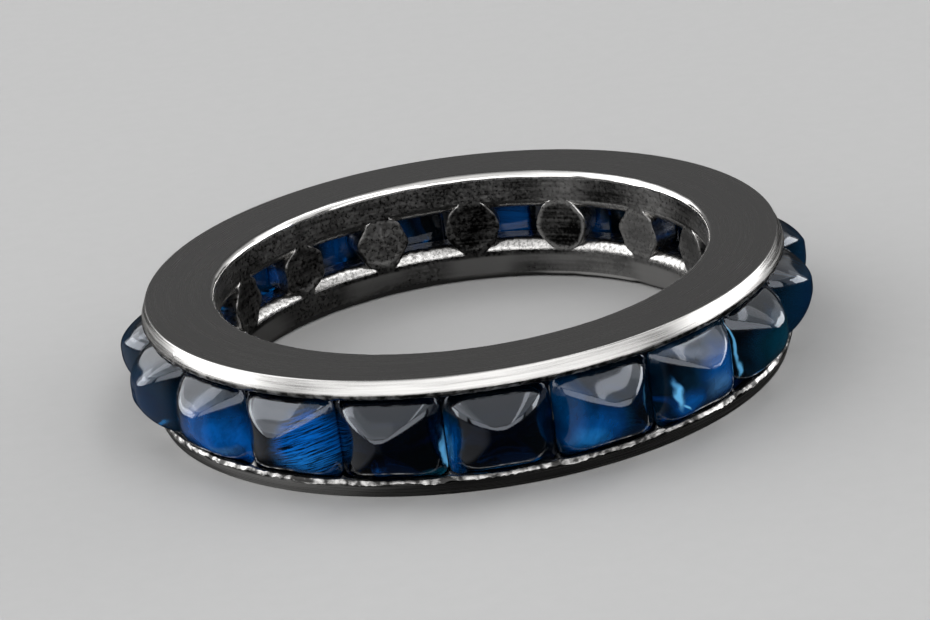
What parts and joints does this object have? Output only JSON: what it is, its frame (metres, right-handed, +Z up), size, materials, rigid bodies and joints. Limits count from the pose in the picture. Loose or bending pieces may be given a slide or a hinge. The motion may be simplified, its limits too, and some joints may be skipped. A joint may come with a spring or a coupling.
{
  "type": "eternity ring",
  "caption": "Finger ring: a white-metal channel band with a pierced gallery, set all the way round with square sugarloaf blue stones held between two side rails.",
  "frame": {"origin": "centre of the finger hole, on the surface that the ring lies on", "axes": "+Z up along the finger hole's axis, -Y towards the front"},
  "size_m": [0.0233, 0.0233, 0.0039],
  "materials": {
    "white_metal": "polished platinum, finely brushed on the two side faces",
    "sapphire": "polished deep blue sapphire"
  },
  "bodies": {
    "root": {"band": "white_metal", "stone_01": "sapphire", "stone_02": "sapphire", "stone_03": "sapphire", "stone_04": "sapphire", "stone_05": "sapphire", "stone_06": "sapphire", "stone_07": "sapphire", "stone_08": "sapphire", "stone_09": "sapphire", "stone_10": "sapphire", "stone_11": "sapphire", "stone_12": "sapphire", "stone_13": "sapphire", "stone_14": "sapphire", "stone_15": "sapphire", "stone_16": "sapphire", "stone_17": "sapphire", "stone_18": "sapphire", "stone_19": "sapphire"}
  },
  "joints": []
}
